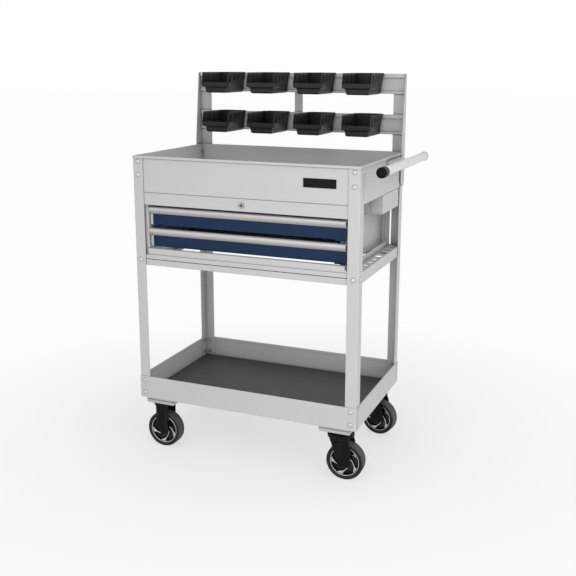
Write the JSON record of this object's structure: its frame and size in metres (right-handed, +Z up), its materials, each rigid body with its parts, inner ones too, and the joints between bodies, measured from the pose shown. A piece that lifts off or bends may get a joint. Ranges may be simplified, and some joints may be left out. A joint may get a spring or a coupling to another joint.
{
  "type": "tool cart",
  "caption": "Rolling tool cart with a deep top tray, drawers under it, an open bottom shelf, a push handle and a rear rack of hanging bins.",
  "frame": {"origin": "on the floor under the middle of the whole object's bounding box", "axes": "+X to the right along the cart's length toward the handle, +Y to the rear where the rack stands, +Z up"},
  "size_m": [0.87, 0.525, 1.292],
  "materials": {
    "frame_paint": "light grey powder coat, satin",
    "drawer_paint": "dark blue powder coat, satin",
    "pull_aluminium": "satin anodised",
    "zinc_steel": "zinc plated",
    "lock_chrome": "polished",
    "bin_plastic": "fine grained moulded plastic",
    "mat_rubber": "matt ribbed liner",
    "tyre_rubber": "soft rubber tread",
    "hub_plastic": "black moulded wheel",
    "fork_paint": "black paint",
    "handle_paint": "light grey paint",
    "cap_plastic": "black plug",
    "badge_paint": "plain dark plate"
  },
  "bodies": {
    "cart": {"post_front_left": "frame_paint", "post_front_right": "frame_paint", "post_rear_left": "frame_paint", "post_rear_right": "frame_paint", "top_tray": "frame_paint", "lock_rail": "frame_paint", "cabinet_side_left": "frame_paint", "cabinet_side_right": "frame_paint", "back_panel": "frame_paint", "cabinet_bottom_rail": "frame_paint", "mid_frame": "frame_paint", "tool_holder": "frame_paint", "side_box": "frame_paint", "bottom_shelf": "frame_paint", "caster_channels": "frame_paint", "rack_upright_left": "frame_paint", "rack_upright_right": "frame_paint", "rack_centre_strap": "frame_paint", "bin_rail_lower": "frame_paint", "bin_rail_upper": "frame_paint", "handle_bracket": "frame_paint", "handle_tube": "handle_paint", "handle_cap_front": "cap_plastic", "badge_plate": "badge_paint", "shelf_mat": "mat_rubber", "rack_bolts": "zinc_steel", "lock_barrel": "lock_chrome", "slides_outer": "zinc_steel", "rigid_forks": "fork_paint", "rigid_axles": "zinc_steel", "swivel_plates": "fork_paint"},
    "lock": {"lock_plug": "lock_chrome"},
    "drawer_upper": {"drawer_upper_body": "frame_paint", "drawer_upper_face": "drawer_paint", "drawer_upper_pull": "pull_aluminium", "drawer_upper_slides": "zinc_steel"},
    "drawer_lower": {"drawer_lower_body": "frame_paint", "drawer_lower_face": "drawer_paint", "drawer_lower_pull": "pull_aluminium", "drawer_lower_slides": "zinc_steel"},
    "swivel_front": {"swivel_fork_front": "fork_paint", "swivel_axle_front": "zinc_steel"},
    "swivel_rear": {"swivel_fork_rear": "fork_paint", "swivel_axle_rear": "zinc_steel"},
    "wheel_front_left": {"tyre_front_left": "tyre_rubber", "hub_front_left": "hub_plastic"},
    "wheel_rear_left": {"tyre_rear_left": "tyre_rubber", "hub_rear_left": "hub_plastic"},
    "wheel_front_right": {"tyre_front_right": "tyre_rubber", "hub_front_right": "hub_plastic"},
    "wheel_rear_right": {"tyre_rear_right": "tyre_rubber", "hub_rear_right": "hub_plastic"},
    "bin_upper_1": {"bin_upper_1": "bin_plastic"},
    "bin_upper_2": {"bin_upper_2": "bin_plastic"},
    "bin_upper_3": {"bin_upper_3": "bin_plastic"},
    "bin_upper_4": {"bin_upper_4": "bin_plastic"},
    "bin_lower_1": {"bin_lower_1": "bin_plastic"},
    "bin_lower_2": {"bin_lower_2": "bin_plastic"},
    "bin_lower_3": {"bin_lower_3": "bin_plastic"},
    "bin_lower_4": {"bin_lower_4": "bin_plastic"}
  },
  "joints": [
    {"name": "drawer_upper_slide", "type": "slide", "parent": "cart", "child": "drawer_upper", "axis": [0, -1, 0], "range_m": [0, 0.3]},
    {"name": "drawer_lower_slide", "type": "slide", "parent": "cart", "child": "drawer_lower", "axis": [0, -1, 0], "range_m": [0, 0.3]},
    {"name": "lock_turn", "type": "hinge", "parent": "cart", "child": "lock", "pos_m": [-0.0383, -0.2105, 0.887], "axis": [0, 1, 0], "range_deg": [0, 90]},
    {"name": "swivel_front_turn", "type": "hinge", "parent": "cart", "child": "swivel_front", "pos_m": [0.2827, -0.1835, 0.145], "axis": [0, 0, 1], "continuous": true},
    {"name": "swivel_rear_turn", "type": "hinge", "parent": "cart", "child": "swivel_rear", "pos_m": [0.2827, 0.2025, 0.145], "axis": [0, 0, 1], "continuous": true},
    {"name": "wheel_front_left_roll", "type": "hinge", "parent": "cart", "child": "wheel_front_left", "pos_m": [-0.3698, -0.1835, 0.0625], "axis": [0, 1, 0], "continuous": true},
    {"name": "wheel_rear_left_roll", "type": "hinge", "parent": "cart", "child": "wheel_rear_left", "pos_m": [-0.3698, 0.2025, 0.0625], "axis": [0, 1, 0], "continuous": true},
    {"name": "wheel_front_right_roll", "type": "hinge", "parent": "swivel_front", "child": "wheel_front_right", "pos_m": [0.30069, -0.18303, 0.0625], "axis": [-0.0262, 0.9997, 0], "continuous": true},
    {"name": "wheel_rear_right_roll", "type": "hinge", "parent": "swivel_rear", "child": "wheel_rear_right", "pos_m": [0.30048, 0.19968, 0.0625], "axis": [0.1564, 0.9877, 0], "continuous": true},
    {"name": "bin_upper_1_lift", "type": "slide", "parent": "cart", "child": "bin_upper_1", "axis": [0, -0.9511, 0.309], "range_m": [0, 0.17]},
    {"name": "bin_upper_2_lift", "type": "slide", "parent": "cart", "child": "bin_upper_2", "axis": [0, -0.9511, 0.309], "range_m": [0, 0.17]},
    {"name": "bin_upper_3_lift", "type": "slide", "parent": "cart", "child": "bin_upper_3", "axis": [0, -0.9511, 0.309], "range_m": [0, 0.17]},
    {"name": "bin_upper_4_lift", "type": "slide", "parent": "cart", "child": "bin_upper_4", "axis": [0, -0.9511, 0.309], "range_m": [0, 0.17]},
    {"name": "bin_lower_1_lift", "type": "slide", "parent": "cart", "child": "bin_lower_1", "axis": [0, -0.9511, 0.309], "range_m": [0, 0.17]},
    {"name": "bin_lower_2_lift", "type": "slide", "parent": "cart", "child": "bin_lower_2", "axis": [0, -0.9511, 0.309], "range_m": [0, 0.17]},
    {"name": "bin_lower_3_lift", "type": "slide", "parent": "cart", "child": "bin_lower_3", "axis": [0, -0.9511, 0.309], "range_m": [0, 0.17]},
    {"name": "bin_lower_4_lift", "type": "slide", "parent": "cart", "child": "bin_lower_4", "axis": [0, -0.9511, 0.309], "range_m": [0, 0.17]}
  ]
}
